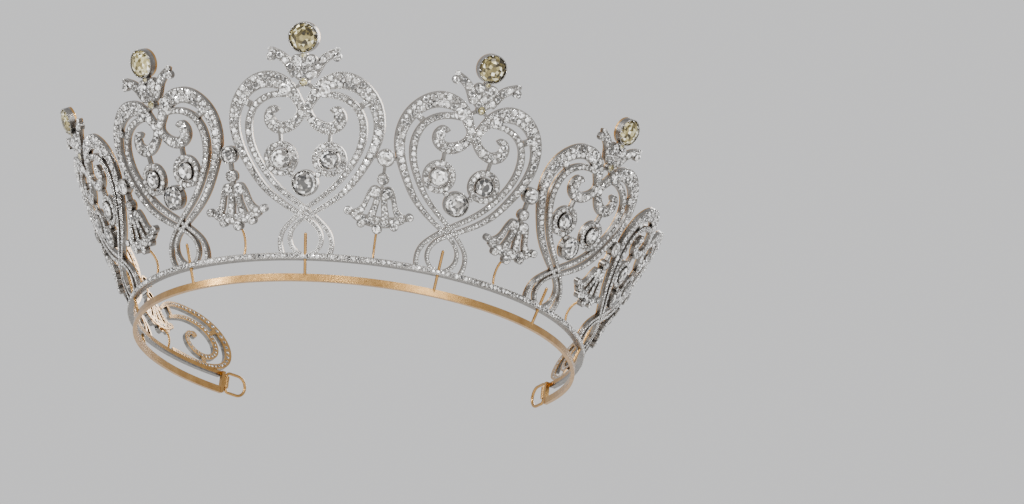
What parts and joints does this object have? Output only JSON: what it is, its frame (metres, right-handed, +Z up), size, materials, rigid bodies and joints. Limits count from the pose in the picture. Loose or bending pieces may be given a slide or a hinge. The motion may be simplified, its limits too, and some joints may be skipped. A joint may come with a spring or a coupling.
{
  "type": "jewelled crown",
  "caption": "Open-backed gem-set crown: heart scrolls leaning out from a thin jewelled rail on a gold band, bell blossoms between them, stone-topped finials and hinged ribbon loops.",
  "frame": {"origin": "centre of the ring, on the plane that the head band stands on", "axes": "+Z up, the front heart faces -Y, +X to the wearer's left"},
  "size_m": [0.2252, 0.1896, 0.083],
  "materials": {
    "silver_settings": "polished silver pave settings, backed with gold",
    "white_stones": "brilliant-cut white stones",
    "champagne_stones": "brilliant-cut pale champagne stones",
    "gold": "polished yellow gold"
  },
  "bodies": {
    "crown": {"base_rail": "silver_settings", "bell_collets_left_1": "silver_settings", "bell_collets_left_2": "silver_settings", "bell_collets_left_3": "silver_settings", "bell_collets_left_4": "silver_settings", "bell_collets_right_1": "silver_settings", "bell_collets_right_2": "silver_settings", "bell_collets_right_3": "silver_settings", "bell_collets_right_4": "silver_settings", "bell_left_1": "silver_settings", "bell_left_2": "silver_settings", "bell_left_3": "silver_settings", "bell_left_4": "silver_settings", "bell_right_1": "silver_settings", "bell_right_2": "silver_settings", "bell_right_3": "silver_settings", "bell_right_4": "silver_settings", "bell_stays": "gold", "bell_stones_left": "white_stones", "bell_stones_right": "white_stones", "cluster_mounts_front": "silver_settings", "cluster_mounts_rear_left": "silver_settings", "cluster_mounts_rear_right": "silver_settings", "cluster_mounts_second_left": "silver_settings", "cluster_mounts_second_right": "silver_settings", "cluster_mounts_third_left": "silver_settings", "cluster_mounts_third_right": "silver_settings", "cluster_stones_front": "white_stones", "cluster_stones_rear_left": "white_stones", "cluster_stones_rear_right": "white_stones", "cluster_stones_second_left": "white_stones", "cluster_stones_second_right": "white_stones", "cluster_stones_third_left": "white_stones", "cluster_stones_third_right": "white_stones", "end_scroll_left": "silver_settings", "end_scroll_right": "silver_settings", "flame_frame_front": "silver_settings", "flame_frame_second_left": "silver_settings", "flame_frame_second_right": "silver_settings", "flame_frame_third_left": "silver_settings", "flame_frame_third_right": "silver_settings", "flame_stones_front": "champagne_stones", "flame_stones_second_left": "champagne_stones", "flame_stones_second_right": "champagne_stones", "flame_stones_third_left": "champagne_stones", "flame_stones_third_right": "champagne_stones", "head_band": "gold", "heart_frame_front": "silver_settings", "heart_frame_rear_left": "silver_settings", "heart_frame_rear_right": "silver_settings", "heart_frame_second_left": "silver_settings", "heart_frame_second_right": "silver_settings", "heart_frame_third_left": "silver_settings", "heart_frame_third_right": "silver_settings", "heart_posts": "gold", "loop_knuckle_left": "gold", "loop_knuckle_right": "gold"},
    "right_loop": {"ribbon_loop_right": "gold"},
    "left_loop": {"ribbon_loop_left": "gold"}
  },
  "joints": [
    {"name": "right_loop_hinge", "type": "hinge", "parent": "crown", "child": "right_loop", "pos_m": [0.06401, 0.05272, 0.005], "axis": [0, 0, 1], "range_deg": [-75, 75]},
    {"name": "left_loop_hinge", "type": "hinge", "parent": "crown", "child": "left_loop", "pos_m": [-0.06401, 0.05272, 0.005], "axis": [0, 0, 1], "range_deg": [-75, 75]}
  ]
}
